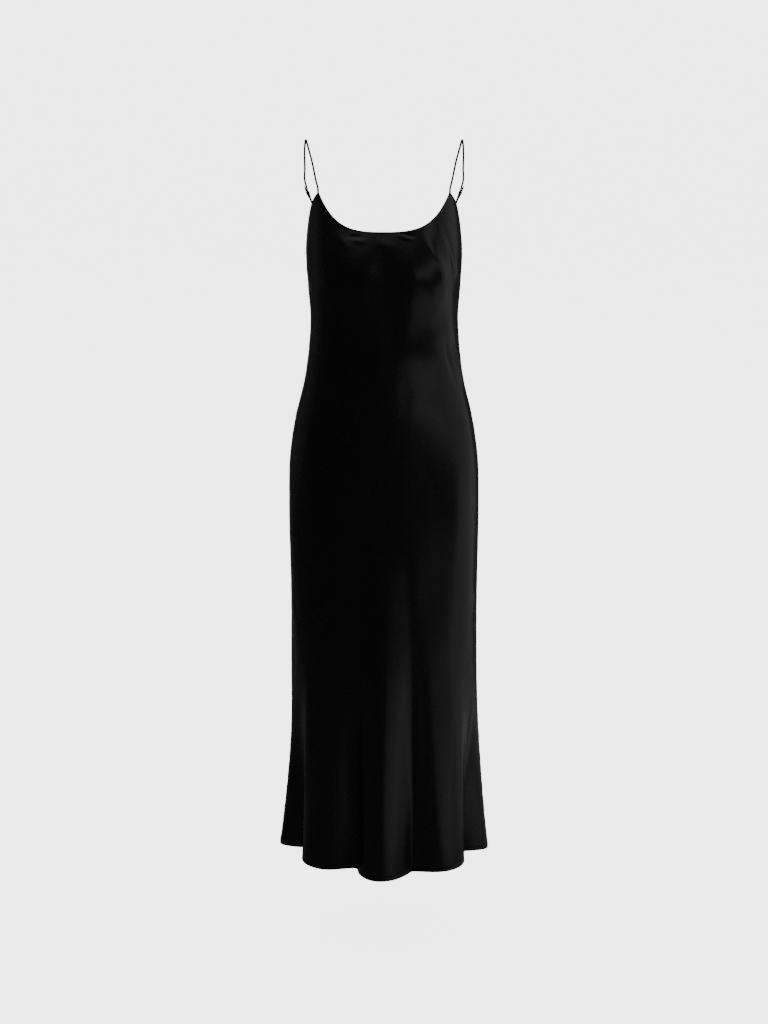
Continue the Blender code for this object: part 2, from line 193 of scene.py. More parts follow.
BACK_CREASES = (
    # drags below the low back
    Crease(140.0, 0.2140, 158.0, 0.2300, 0.0026, 0.0045, 0.001, 0.0010),
    Crease(144.0, 0.2160, 168.0, 0.2240, 0.0022, 0.0036, 0.001, -0.0009),
    Crease(216.0, 0.2110, 199.0, 0.2280, 0.0026, 0.0045, -0.001, 0.0009),
    Crease(208.0, 0.2230, 190.0, 0.2320, 0.0024, 0.0036, -0.001, -0.0009),
    Crease(172.0, 0.2240, 186.0, 0.2560, 0.0080, 0.0120, 0.002, 0.0010),
    # hollow of the back and the small of the waist
    Crease(100.0, 0.2500, 134.0, 0.3000, 0.0080, 0.0140, 0.004, 0.0012),
    Crease(98.0, 0.2900, 140.0, 0.3400, 0.0090, 0.0150, 0.004, -0.0012),
    Crease(260.0, 0.2550, 224.0, 0.3050, 0.0080, 0.0140, -0.004, 0.0012),
    Crease(262.0, 0.2980, 220.0, 0.3500, 0.0090, 0.0160, -0.004, -0.0011),
    Crease(146.0, 0.3250, 206.0, 0.3400, 0.0130, 0.0150, 0.006, 0.0012),
    Crease(150.0, 0.3620, 214.0, 0.3700, 0.0120, 0.0160, 0.006, -0.0013),
    # below the seat
    Crease(112.0, 0.6900, 142.0, 0.7500, 0.0090, 0.0140, 0.004, 0.0012),
    Crease(250.0, 0.7000, 222.0, 0.7700, 0.0090, 0.0140, -0.004, 0.0011),
    Crease(97.0, 0.7600, 116.0, 0.8700, 0.0050, 0.0080, -0.003, 0.0012),
    Crease(95.0, 0.8100, 112.0, 0.9300, 0.0045, 0.0070, -0.003, -0.0010),
    Crease(264.0, 0.7900, 248.0, 0.9000, 0.0050, 0.0080, 0.003, 0.0012),
    Crease(168.0, 0.8200, 166.0, 1.1400, 0.0080, 0.0100, 0.002, -0.0010),
    Crease(198.0, 0.8600, 199.0, 1.1500, 0.0080, 0.0100, -0.002, -0.0010),
    Crease(128.0, 0.8800, 131.0, 1.1600, 0.0080, 0.0110, 0.003, 0.0011),
    Crease(236.0, 0.8600, 232.0, 1.1400, 0.0080, 0.0110, -0.003, 0.0010),
)
CREASE_REACH = 0.135

# Straps and hardware
STRAP_RADIUS = 0.0015
ROULEAU_RADIUS = 0.00175
ROULEAU_SEAM = 0.10
RING_RADIUS = 0.0045
RING_WIRE = 0.0007
SLIDER_WIDTH = 0.0070
SLIDER_HEIGHT = 0.0135
SLIDER_BAR = 0.0012
SLIDER_THICKNESS = 0.0012
CORNER_ACROSS = 0.93
CORNER_ALONG = 0.965
RING_STANDOFF = 0.0078
ROOT_DEPTH = 0.0045
ROOT_INSET = 0.0004
BACK_FACING = np.array((0.743, 0.669, 0.0))
STRAP_START = np.array((0.0006, 0.0012, 0.0024))
STRAP_ROUTE = np.array((
    (0.1149, -0.0445, -0.0689),
    (0.1185, -0.0395, -0.0518),
    (0.1224, -0.0325, -0.0345),
    (0.1275, -0.0218, -0.0167),
    (0.1334, -0.0040, STRAP_RADIUS),
    (0.1357, 0.0130, -0.0030),
    (0.1374, 0.0300, -0.0200),
    (0.1378, 0.0450, -0.0420),
))
STRAP_AT_SLIDER = np.array((0.1345, 0.0600, -0.0760))

# How finely the pieces are drawn
NECK_COLUMNS = 150
SIDE_COLUMNS = 26
BACK_COLUMNS = 130
SEAM_COLUMNS = (2.0, 1.3, 0.8, 0.45, 0.2, 0.0)
PANEL_ROWS = 205
ROW_CROWDING = 0.62
HEM_ROWS = (0.0086, 0.0078, 0.0072, 0.0068, 0.0060, 0.0042, 0.0022, 0.0010, 0.0004, 0.0)
PROFILE_POINTS = 20
STRAP_RINGS = 220
BEND_POINTS = 17
RING_STEPS = 48
RING_TUBE_STEPS = 16
EDGE_SPACING = 0.0015
SWEEP_STEPS = 96
SWEEP_RINGS = 24


# ---------------------------------------------------------------- worn form of the cloth


def read_table(table, place):
    """Smooth curve through each column of a table whose first column is the place.

    Between two rows it is the cubic that meets both rows' values and both rows' slopes,
    and a row's slope is the mean slope of the table there.
    """
    rows = np.array(table)
    places = rows[:, 0]
    values = rows[:, 1:]
    slopes = np.gradient(values, places, axis=0)
    index = np.clip(np.searchsorted(places, place) - 1, 0, len(places) - 2)
    step = (places[index + 1] - places[index])[..., None]
    t = np.asarray(place)[..., None] - places[index][..., None]
    t = np.clip(t / step, 0.0, 1.0)
    rise = values[index + 1] - values[index]
    blend = t * t * (3.0 - 2.0 * t)
    enter = t * (1.0 - t) ** 2 * step * slopes[index]
    leave = t * t * (t - 1.0) * step * slopes[index + 1]
    return values[index] + blend * rise + enter + leave


def turn_between(turn, centre):
    """Signed angle from a centre, the short way round."""
    return (turn - centre + 180.0) % 360.0 - 180.0


def section_reach(turn, drop):
    """Distance of the plain section from its middle: a squared ellipse in polar form."""
    half_width, front, back, squareness = np.moveaxis(read_table(SECTIONS, drop), -1, 0)
    angle = np.radians(turn)
    depth = np.where(np.cos(angle) > 0.0, front, back)
    across = (np.abs(np.sin(angle)) / half_width) ** squareness
    along = (np.abs(np.cos(angle)) / depth) ** squareness
    return (across + along) ** (-1.0 / squareness)


def fullness(turn, drop):
    """Outward swell over the bust: two round hills that fade to nothing."""
    sideways = (np.abs(turn_between(turn, 0.0)) - FULLNESS_TURN) / FULLNESS_SPREAD
    upward = (drop - FULLNESS_DROP) / FULLNESS_REACH
    return FULLNESS_RISE * np.exp(-sideways ** 2 - upward ** 2)


def hem_drop(turn):
    """Drop of the hem: a shallow double wave round the dress, and a slight tilt."""
    angle = np.radians(turn)
    return HEM_DROP + HEM_DIP * np.cos(2.0 * angle) + HEM_TILT * np.sin(angle)


def fold_shape(turn, drop):
    """Outward and sideways moves of the skirt's flutes, as cosine waves that grow down."""
    outward = np.zeros(np.broadcast(turn, drop).shape)
    sideways = np.zeros_like(outward)
    for fold in FOLDS:
        share = np.clip((drop - fold.start) / (HEM_DROP - fold.start), 0.0, 1.1)
        growth = share ** fold.bend
        across = np.clip(turn_between(turn, fold.turn) / fold.spread, -1.0, 1.0)
        hill = 0.5 * (1.0 + np.cos(math.pi * across))
        outward += fold.rise * growth * hill
        sideways += growth * (fold.swell * np.sin(math.pi * across) + fold.tilt * hill)
    return outward, sideways


def cloth_point(turn, drop):
    """Places on the plain draped form: the section's reach, its fullness and its flutes."""
    angle = np.radians(turn)
    outward, sideways = fold_shape(turn, drop)
    reach = section_reach(turn, drop) + fullness(turn, drop) + outward
    x = reach * np.sin(angle) + sideways * np.cos(angle)
    y = -reach * np.cos(angle) + sideways * np.sin(angle)
    z = np.broadcast_to(-drop, x.shape)
    return np.stack((x, y, z), axis=-1)


def unit(vectors):
    return vectors / np.linalg.norm(vectors, axis=-1, keepdims=True)


def cloth_normal(turn, drop):
    """Outward normals of the plain form, from small steps round it and down it."""
    round_step = cloth_point(turn + 0.2, drop) - cloth_point(turn - 0.2, drop)
    down_step = cloth_point(turn, drop + 0.001) - cloth_point(turn, drop - 0.001)
    return unit(np.cross(down_step, round_step))


def top_drop(turn):
    """Drop of the finished top edge: neck scoop, armholes and low back in one line."""
    away = np.abs(turn_between(turn, 0.0))
    level = np.full_like(away, NECK_DROP)
    sideways = section_reach(away, level) * np.sin(np.radians(away))
    peak_sideways = section_reach(PEAK_TURN, level) * math.sin(math.radians(PEAK_TURN))
    share = np.clip(sideways / peak_sideways, 0.0, 1.0)
    neck = NECK_DROP + (PEAK_DROP - NECK_DROP) * share ** NECK_FLATNESS
    armhole = read_table(ARMHOLE, away)[..., 0]
    inner = np.clip((180.0 - away) / (180.0 - BACK_POINT_TURN), 0.0, 1.0)
    back = BACK_CENTRE_DROP + (BACK_POINT_DROP - BACK_CENTRE_DROP) * inner ** BACK_FLATNESS
    return np.select([away <= PEAK_TURN, away <= BACK_POINT_TURN], [neck, armhole], back)


# ---------------------------------------------------------------- relief of the cloth


def crease_relief(creases, turn, drop):
    """Heights of creases.

    Each is a bell across its line, times a half sine squared along it, so that it fades
    at both ends.  A parabola bows the line, and its width runs from one end's to the other's.
    """
    height = np.zeros(np.broadcast(turn, drop).shape)
    metres = CREASE_REACH * math.pi / 180.0
    for crease in creases:
        run = turn_between(crease.end_turn, crease.turn) * metres
        fall = crease.end_drop - crease.drop
        length = math.hypot(run, fall)
        u = turn_between(turn, crease.turn) * metres
        v = drop - crease.drop
        t = np.clip((u * run + v * fall) / length ** 2, 0.0, 1.0)
        bow = crease.bow * 4.0 * t * (1.0 - t)
        across = (v * run - u * fall) / length - bow
        width = crease.width + (crease.end_width - crease.width) * t
        height += crease.rise * np.sin(math.pi * t) ** 2 * np.exp(-(across / width) ** 2)
    return height


def soft_unevenness(turn, drop, height):
    """Slow, uneven rise and fall of hanging satin: a sum of long crossed waves."""
    angle = np.radians(turn)
    waves = np.sin(7.0 * angle + 9.0 * drop + 0.6)
    waves = waves + 0.8 * np.sin(11.0 * angle - 17.0 * drop + 2.1)
    waves = waves + 0.6 * np.sin(4.0 * angle + 31.0 * drop + 4.0)
    waves = waves + 0.5 * np.sin(17.0 * angle + 23.0 * drop + 1.3)
    return height * waves


def seam_relief(turn, drop, cloth):
    """Side seams: a narrow groove, and puckers that fade away from it on both sides.

    The puckers are two sines down the seam whose lengths don't match, so no two are alike.
    """
    metres = CREASE_REACH * math.pi / 180.0
    away = np.abs(np.abs(turn_between(turn, 0.0)) - SIDE_TURN) * metres
    groove = -cloth.seam_depth * np.exp(-(away / 0.0011) ** 2)
    side = np.sign(turn_between(turn, 0.0))
    waves = np.sin(drop * 265.0 + 1.7 * side) * np.sin(drop * 61.0 + 0.9 * side)
    waves = waves + 0.5 * np.sin(drop * 148.0 - 2.0 * side)
    return groove + cloth.pucker * waves * np.exp(-(away / 0.010) ** 2)


def doubled_share(above_hem, cloth):
    """Share of the hem's extra cloth: 1 in the turned hem, 0 above it, by a soft step."""
    steps = np.clip((above_hem - cloth.hem_width) / GROOVE_WIDTH, -50.0, 50.0)
    return 1.0 / (1.0 + np.exp(steps))


def hem_relief(above_hem, cloth):
    """Turned hem: the doubled cloth stands out a little, with a groove at its stitches."""
    doubled = doubled_share(above_hem, cloth)
    stitch_line = np.exp(-((above_hem - cloth.hem_width) / 0.0006) ** 2)
    edge = np.exp(-above_hem / 0.0004)
    return 0.00022 * doubled - 0.00030 * stitch_line - 0.00030 * edge


def face_point(turn, drop, cloth, inwards=0.0):
    """Places on the outer face with all its relief, or a distance inwards from it."""
    relief = crease_relief(FRONT_CREASES + BACK_CREASES, turn, drop) * cloth.crease_scale
    relief = relief + soft_unevenness(turn, drop, cloth.unevenness)
    relief = relief + seam_relief(turn, drop, cloth)
    relief = relief + hem_relief(hem_drop(turn) - drop, cloth)
    height = relief - inwards
    return cloth_point(turn, drop) + height[..., None] * cloth_normal(turn, drop)


# ---------------------------------------------------------------- making meshes


def grid_faces(rows, columns, wrap=False):
    """Four corners of each face of a grid of points; a wrapped grid closes on itself."""
    index = np.arange(rows * columns).reshape(rows, columns)
    if wrap:
        index = np.concatenate((index, index[:, :1]), axis=1)
    corners = (index[:-1, :-1], index[1:, :-1], index[1:, 1:], index[:-1, 1:])
    return np.stack(corners, axis=-1).reshape(-1, 4)


def add_piece(name, points, face_groups, finishes, uv=None, face_slots=None, sharp=50.0):
    """New mesh object from points and arrays of faces, smooth but for its sharp edges.

    Finishes are names of materials.
    """
    faces = [corners for group in face_groups for corners in group.tolist()]
    mesh = bpy.data.meshes.new(name)
    mesh.from_pydata(points.reshape(-1, 3).tolist(), [], faces)
    for finish in finishes:
        mesh.materials.append(bpy.data.materials[finish])
    if face_slots is not None:
        mesh.polygons.foreach_set("material_index", face_slots.astype(np.int32))
    if uv is not None:
        corners = np.empty(len(mesh.loops), np.int32)
        mesh.loops.foreach_get("vertex_index", corners)
        layer = mesh.uv_layers.new(name="cut")
        layer.data.foreach_set("uv", uv.reshape(-1, 2)[corners].ravel())
    mesh.validate()
    mesh.shade_smooth()
    mesh.set_sharp_from_angle(angle=math.radians(sharp))
    piece = bpy.data.objects.new(name, mesh)
    bpy.context.scene.collection.objects.link(piece)
    return piece


def finish_piece(piece, slot, *nodes):
    """The piece rides on the dress and stands for its own solids, where it has any."""
    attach(piece, BODY)
    if nodes:
        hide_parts(*nodes)
    return piece


def run_lengths(points, axis):
    """Length along a grid's rows or columns up to each point."""
    steps = np.linalg.norm(np.diff(points, axis=axis), axis=-1)
    start = np.zeros_like(np.take(steps, [0], axis=axis))
    return np.concatenate((start, np.cumsum(steps, axis=axis)), axis=axis)


def cut_coordinates(points):
    """Pattern coordinates in metres: length across from the middle column, length down."""
    across = run_lengths(points, axis=1)
    across = across - across[:, across.shape[1] // 2][:, None]
    down = run_lengths(points, axis=0)
    down = np.broadcast_to(down.mean(axis=1, keepdims=True), down.shape)
    return np.stack((across, -down), axis=-1)


def read_along(rows, run, place):
    """Rows of a line's values at places along it, by the length run up to each row."""
    return np.stack([np.interp(place, run, rows[:, axis]) for axis in range(3)], axis=-1)


def even_path(points, spacing):
    """Points at an even spacing along a line of points, read off by length."""
    run = run_lengths(points, axis=0)
    count = max(2, int(round(run[-1] / spacing)) + 1)
    return read_along(points, run, np.linspace(0.0, run[-1], count))


def smooth_route(corners, count):
    """Evenly spaced points on a smooth curve through a route's own points."""
    corners = np.array(corners)
    place = run_lengths(corners, axis=0)
    table = np.column_stack((place, corners))
    return read_table(table, np.linspace(0.0, place[-1], count))


def path_frames(points, reference):
    """Two directions across a path, the first nearest the reference."""
    tangent = unit(np.gradient(points, axis=0))
    first = unit(reference - np.sum(reference * tangent, axis=-1, keepdims=True) * tangent)
    return first, np.cross(tangent, first)


def sweep(points, first, second, profile):
    """Grid of a profile carried along a path: path point + a * first + b * second."""
    grid = points[:, None] + profile[..., 0:1] * first[:, None]
    return grid + profile[..., 1:2] * second[:, None]


def circle_angles(count):
    return np.linspace(0.0, 2.0 * math.pi, count, endpoint=False)


def rouleau_profile():
    """Round section with one seam groove: the radius less a narrow bell at the seam."""
    angle = circle_angles(PROFILE_POINTS)
    reach = ROULEAU_RADIUS * (1.0 - ROULEAU_SEAM * np.exp(-((angle - math.pi) / 0.30) ** 2))
    return np.stack((reach * np.cos(angle), reach * np.sin(angle)), axis=-1)


def capped(grid, faces):
    """Adds a middle point at each end of a swept grid, and triangles that close the ends."""
    rows, columns = grid.shape[:2]
    middles = grid[[0, -1]].mean(axis=1)
    ring = np.arange(columns)
    after = np.roll(ring, -1)
    start = np.full(columns, rows * columns)
    last = (rows - 1) * columns
    first_cap = np.stack((start, after, ring), axis=-1)
    last_cap = np.stack((start + 1, last + ring, last + after), axis=-1)
    return np.concatenate((grid.reshape(-1, 3), middles)), (faces, first_cap, last_cap)


def tube_piece(name, path, reference, profile, finish):
    """Closed tube: the profile swept along the path, with its length and girth as pattern."""
    first, second = path_frames(path, reference)
    grid = sweep(path, first, second, profile)
    points, faces = capped(grid, grid_faces(*grid.shape[:2], wrap=True)[:, ::-1])
    along = np.broadcast_to(run_lengths(path, axis=0)[:, None], grid.shape[:2])
    girth = np.linspace(0.0, 2.0 * math.pi * np.abs(profile).max(), profile.shape[-2])
    around = np.broadcast_to(girth, grid.shape[:2])
    pattern = np.stack((around, along), axis=-1).reshape(-1, 2)
    ends = np.array([[0.0, 0.0], [0.0, along.max()]])
    return add_piece(name, points, faces, [finish], np.concatenate((pattern, ends)))


def stitch_mesh(name, path, facing, length, gap, thread):
    """Row of stitches: lozenges of eight faces, laid end to end along a path with gaps.

    A stitch's six corners are its middle plus half its length along the path, or plus the
    thread's radius across it or out of the cloth.
    """
    run = run_lengths(path, axis=0)
    count = max(1, int(run[-1] // (length + gap)))
    place = (np.arange(count) + 0.5) * run[-1] / count
    middle = read_along(path, run, place)
    along = unit(read_along(np.gradient(path, axis=0), run, place))
    outward = unit(read_along(facing, run, place))
    across = np.cross(along, outward)
    half = 0.5 * length
    corners = np.stack((
        middle - half * along - 0.5 * thread * outward,
        middle + half * along - 0.5 * thread * outward,
        middle + thread * across,
        middle - thread * across,
        middle + thread * outward,
        middle - thread * outward,
    ), axis=1)
    lozenge = np.array((
        (0, 2, 4), (4, 2, 1), (1, 3, 4), (4, 3, 0),
        (2, 0, 5), (1, 2, 5), (3, 1, 5), (0, 3, 5),
    ))
    faces = (np.arange(count)[:, None, None] * 6 + lozenge).reshape(-1, 3)
    return add_piece(name, corners, [faces], ["black_thread"], sharp=80.0)


# ---------------------------------------------------------------- materials


def new_group(name, inputs, outputs):
    """Empty shader node group with named sockets, and its input and output nodes."""
    group = bpy.data.node_groups.new(name, "ShaderNodeTree")
    for label, kind in inputs.items():
        group.interface.new_socket(label, in_out="INPUT", socket_type=kind)
    for label in outputs:
        group.interface.new_socket(label, in_out="OUTPUT", socket_type="NodeSocketFloat")
    return group, group.nodes.new("NodeGroupInput"), group.nodes.new("NodeGroupOutput")


def noise(tree, vector, scale, detail=2.0, roughness=0.5):
    node = tree.nodes.new("ShaderNodeTexNoise")
    node.inputs["Scale"].default_value = scale
    node.inputs["Detail"].default_value = detail
    node.inputs["Roughness"].default_value = roughness
    tree.links.new(vector, node.inputs["Vector"])
    return node.outputs["Fac"]


def maths(tree, operation, first, second):
    """Math node on two sockets or numbers."""
    node = tree.nodes.new("ShaderNodeMath")
    node.operation = operation
    for socket, value in zip(node.inputs, (first, second)):
        if isinstance(value, (int, float)):
            socket.default_value = value
        else:
            tree.links.new(value, socket)
    return node.outputs["Value"]


def blend(tree, factor, low, high):
    """Number that runs from low to high as the factor runs from 0 to 1."""
    node = tree.nodes.new("ShaderNodeMapRange")
    node.inputs["To Min"].default_value = low
    node.inputs["To Max"].default_value = high
    tree.links.new(factor, node.inputs["Value"])
    return node.outputs["Result"]


def tinted(colour, share):
    """A colour times a share, opaque."""
    return (*(channel * share for channel in colour), 1.0)


def paint(tree, shader, factor, colour, low, high):
    """Base colour that runs from a low to a high share of a colour, by the factor."""
    node = tree.nodes.new("ShaderNodeMix")
    node.data_type = "RGBA"
    node.inputs["A"].default_value = tinted(colour, low)
    node.inputs["B"].default_value = tinted(colour, high)
    tree.links.new(factor, node.inputs["Factor"])
    tree.links.new(node.outputs["Result"], shader.inputs["Base Color"])


def satin_weave_group():
    """Satin weave on pattern coordinates in metres.

    The cloth is turned to the bias.  Long warp floats are noise stretched along the warp.
    Slubs are rarer, longer streaks.
    """
    inputs = {"Pattern": "NodeSocketVector", "Thread": "NodeSocketFloat"}
    group, entry, leave = new_group("satin_weave", inputs, ("Height", "Slub"))
    bias = group.nodes.new("ShaderNodeVectorRotate")
    bias.rotation_type = "Z_AXIS"
    bias.inputs["Angle"].default_value = math.radians(45.0)
    group.links.new(entry.outputs["Pattern"], bias.inputs["Vector"])

    def stretched(across, along):
        scale = group.nodes.new("ShaderNodeVectorMath")
        scale.operation = "MULTIPLY"
        scale.inputs[1].default_value = (across, along, 1.0)
        group.links.new(bias.outputs["Vector"], scale.inputs[0])
        return scale.outputs["Vector"]

    sized = group.nodes.new("ShaderNodeVectorMath")
    sized.operation = "SCALE"
    per_thread = maths(group, "DIVIDE", 1.0, entry.outputs["Thread"])
    group.links.new(stretched(1.0, 0.14), sized.inputs[0])
    group.links.new(per_thread, sized.inputs["Scale"])
    floats = noise(group, sized.outputs["Vector"], 1.0, 1.0)
    slub = maths(group, "POWER", noise(group, stretched(900.0, 22.0), 1.0, 2.0), 3.0)
    height = maths(group, "ADD", floats, maths(group, "MULTIPLY", slub, 0.5))
    group.links.new(height, leave.inputs["Height"])
    group.links.new(slub, leave.inputs["Slub"])


def handling_group():
    """Slow variation over a finished garment, on object coordinates in metres.

    Bloom is a broad cloud, and Press a finer mottle such as an iron leaves.
    """
    group, entry, leave = new_group(
        "handling", {"Place": "NodeSocketVector"}, ("Bloom", "Press")
    )
    place = entry.outputs["Place"]
    group.links.new(noise(group, place, 9.0, 2.0), leave.inputs["Bloom"])
    group.links.new(noise(group, place, 46.0, 4.0, 0.6), leave.inputs["Press"])


def new_material(name):
    """New material's node tree, its main shader and its texture coordinates."""
    material = bpy.data.materials.new(name)
    material.use_nodes = True
    tree = material.node_tree
    places = tree.nodes.new("ShaderNodeTexCoord")
    return tree, tree.nodes["Principled BSDF"], places.outputs


def use_group(tree, name, source, socket, **values):
    node = tree.nodes.new("ShaderNodeGroup")
    node.node_tree = bpy.data.node_groups[name]
    tree.links.new(source, node.inputs[socket])
    for label, value in values.items():
        node.inputs[label].default_value = value
    return node.outputs


def raise_surface(tree, shader, height, distance, strength=1.0):
    bump = tree.nodes.new("ShaderNodeBump")
    bump.inputs["Distance"].default_value = distance
    bump.inputs["Strength"].default_value = strength
    tree.links.new(height, bump.inputs["Height"])
    tree.links.new(bump.outputs["Normal"], shader.inputs["Normal"])


def satin_material(name, finish, roughness, thread, sheen, lift=1.0):
    """Black satin: near-black dye with a slow bloom, woven relief and a soft cool sheen."""
    tree, shader, places = new_material(name)
    weave = use_group(tree, "satin_weave", places["UV"], "Pattern", Thread=thread)
    handling = use_group(tree, "handling", places["Object"], "Place")

    def weighed(first, first_share, second, second_share):
        return maths(
            tree,
            "ADD",
            maths(tree, "MULTIPLY", first, first_share),
            maths(tree, "MULTIPLY", second, second_share),
        )

    tone = weighed(handling["Bloom"], 0.7, weave["Slub"], 0.9)
    paint(tree, shader, tone, finish.cloth_colour, 0.72 * lift, 1.35 * lift)
    gloss = weighed(handling["Press"], 0.7, weave["Slub"], 0.8)
    rough = blend(tree, gloss, roughness - 0.05, roughness + 0.07)
    tree.links.new(rough, shader.inputs["Roughness"])
    relief = maths(tree, "ADD", weave["Height"], maths(tree, "MULTIPLY", handling["Press"], 2.0))
    raise_surface(tree, shader, relief, 0.00006, finish.weave_depth)
    shader.inputs["Specular IOR Level"].default_value = finish.gloss
    shader.inputs["Sheen Weight"].default_value = sheen
    shader.inputs["Sheen Roughness"].default_value = 0.35
    shader.inputs["Sheen Tint"].default_value = (0.86, 0.84, 1.0, 1.0)


def enamel_material(name, finish):
    """Black enamel on metal: glossy, with faint orange peel and finer rub marks."""
    tree, shader, places = new_material(name)
    handling = use_group(tree, "handling", places["Object"], "Place")
    peel = noise(tree, places["Object"], 900.0, 2.0)
    rub = noise(tree, places["Object"], 3200.0, 3.0, 0.7)
    paint(tree, shader, handling["Press"], finish.metal_colour, 0.8, 1.5)
    tree.links.new(blend(tree, rub, 0.20, 0.38), shader.inputs["Roughness"])
    raise_surface(tree, shader, peel, 0.00002, 0.6)
    shader.inputs["Metallic"].default_value = 0.55
    shader.inputs["Coat Weight"].default_value = 0.4
    shader.inputs["Coat Roughness"].default_value = 0.12


def thread_material(name, finish):
    """Polyester sewing thread: the cloth's black, a little lighter, with a fine twist."""
    tree, shader, places = new_material(name)
    twist = noise(tree, places["Object"], 2600.0, 1.0)
    paint(tree, shader, twist, finish.cloth_colour, 0.9, 2.4)
    tree.links.new(blend(tree, twist, 0.38, 0.55), shader.inputs["Roughness"])
    raise_surface(tree, shader, twist, 0.00003)


def show_to_lens(tree, seen, unseen, output):
    """The lens sees one shader, and everything else sees the other."""
    path = tree.nodes.new("ShaderNodeLightPath")
    mix = tree.nodes.new("ShaderNodeMixShader")
    tree.links.new(path.outputs["Is Camera Ray"], mix.inputs["Fac"])
    tree.links.new(unseen.outputs[0], mix.inputs[1])
    tree.links.new(seen.outputs[0], mix.inputs[2])
    tree.links.new(mix.outputs["Shader"], output.inputs["Surface"])


def paper_material(name, stage):
    """Pale studio paper with a faint grain.

    The lens sees the paper partly lit by itself, as an evenly lit sweep looks.  The dress
    sees a darker paper, so that black satin keeps its depth.
    """
    tree, shader, places = new_material(name)
    grain = noise(tree, places["Object"], 140.0, 3.0)
    paint(tree, shader, grain, stage.paper_colour, 0.97, 1.0)
    shader.inputs["Roughness"].default_value = 0.9
    shader.inputs["Specular IOR Level"].default_value = 0.1
    shader.inputs["Emission Color"].default_value = tinted(stage.paper_colour, 1.0)
    shader.inputs["Emission Strength"].default_value = stage.paper_glow
    shade = tree.nodes.new("ShaderNodeBsdfDiffuse")
    shade.inputs["Color"].default_value = tinted(stage.paper_colour, stage.paper_bounce)
    show_to_lens(tree, shader, shade, tree.nodes["Material Output"])


def make_materials():
    """All finishes by name, made once."""
    if "satin_face" in bpy.data.materials:
        return
    finish = bpy.context.scene.slip_dress_finish
    satin_weave_group()
    handling_group()
    rough, sheen = finish.satin_roughness, finish.sheen
    satin_material("satin_face", finish, rough, 0.00032, sheen)
    satin_material("satin_reverse", finish, 0.62, 0.00032, 0.10, 1.3)
    satin_material("satin_binding", finish, rough + 0.03, 0.00030, sheen)
    satin_material("satin_rouleau", finish, rough + 0.06, 0.00028, sheen)
    enamel_material("black_enamel", finish)
    thread_material("black_thread", finish)


# ---------------------------------------------------------------- settings


def length_setting(name, description, default, least=0.0):
    return bpy.props.FloatProperty(
        name=name, description=description, default=default, min=least, unit="LENGTH", precision=5
    )


def share_setting(name, description, default, most=1.0):
    return bpy.props.FloatProperty(
        name=name, description=description, default=default, min=0.0, max=most, subtype="FACTOR"
    )


def colour_setting(name, description, default):
    return bpy.props.FloatVectorProperty(
        name=name, description=description, default=default, min=0.0, max=1.0, subtype="COLOR"
    )


class ClothSettings(bpy.types.PropertyGroup):
    """Sizes of the cloth and its sewing"""

    wall: length_setting("Cloth", "Thickness of the satin wall", 0.0007, 0.0002)
    hem_width: length_setting("Hem Width", "Height of the turned hem", 0.0070, 0.002)
    hem_fold: length_setting("Hem Fold", "Extra thickness inside the turned hem", 0.0006)
    seam_depth: length_setting("Seam Groove", "Depth of the side seams' groove", 0.0006)
    pucker: length_setting("Seam Pucker", "Height of the puckers beside the seams", 0.00028)
    unevenness: length_setting("Unevenness", "Height of the cloth's slow waves", 0.00035)
    crease_scale: share_setting("Crease Depth", "Share of each crease's height", 1.0, 2.0)
    binding_depth: length_setting("Binding Depth", "Thickness of the bindings", 0.0017, 0.0005)
    stitch: length_setting("Stitch Length", "Length of one stitch", 0.0020, 0.0005)
    thread: length_setting("Thread", "Radius of the sewing thread", 0.00016, 0.00005)


class FinishSettings(bpy.types.PropertyGroup):
    """Colours and gloss of the cloth and the metal"""

    cloth_colour: colour_setting("Cloth", "Colour of the satin", (0.0062, 0.0056, 0.0070))
    metal_colour: colour_setting("Metal", "Colour of the hardware", (0.016, 0.016, 0.018))
    satin_roughness: share_setting("Roughness", "Roughness of the satin's face", 0.27)
    gloss: share_setting("Gloss", "Strength of the satin's reflections", 0.5)
    sheen: share_setting("Sheen", "Soft light at the satin's grazing edges", 0.05)
    weave_depth: share_setting("Weave", "Strength of the woven relief", 0.26)


class StageSettings(bpy.types.PropertyGroup):
    """Floor, lights and camera"""

    floor_gap: length_setting("Floor Gap", "Height of the hem above the floor", 0.150)
    floor_radius: length_setting("Floor Radius", "Flat radius of the paper sweep", 3.9, 3.0)
    paper_colour: colour_setting("Paper", "Colour of the paper", (0.86, 0.86, 0.865))
    paper_glow: share_setting("Paper Glow", "Light that the paper adds for the lens", 4.6, 20.0)
    paper_bounce: share_setting("Paper Bounce", "Share of the paper that the dress sees", 0.22)
    world_glow: share_setting("World Glow", "Dim light from all round the dress", 0.66, 5.0)
    camera_height: length_setting(
        "Camera Height", "Height of the lens above the shoulder line", -0.27295, -2.0
    )
    camera_distance: length_setting(
        "Camera Distance", "Distance of the lens in front of the dress", 2.678, 0.5
    )
    camera_tilt: bpy.props.FloatProperty(
        name="Camera Tilt", description="How far the lens points below the level",
        default=math.radians(7.7966), subtype="ANGLE",
    )
    lens: bpy.props.FloatProperty(
        name="Lens", description="Focal length", default=53.83, min=10.0, unit="CAMERA",
    )


# ---------------------------------------------------------------- panels and bindings


def front_turns():
    """Turns of the front's columns, crowded towards both side seams."""
    neck = np.linspace(-PEAK_TURN, PEAK_TURN, NECK_COLUMNS + 1)
    side = np.linspace(PEAK_TURN, SIDE_TURN - SEAM_COLUMNS[0], SIDE_COLUMNS + 1)[1:-1]
    side = np.concatenate((side, SIDE_TURN - np.array(SEAM_COLUMNS)))
    return np.concatenate((-side[::-1], neck, side))


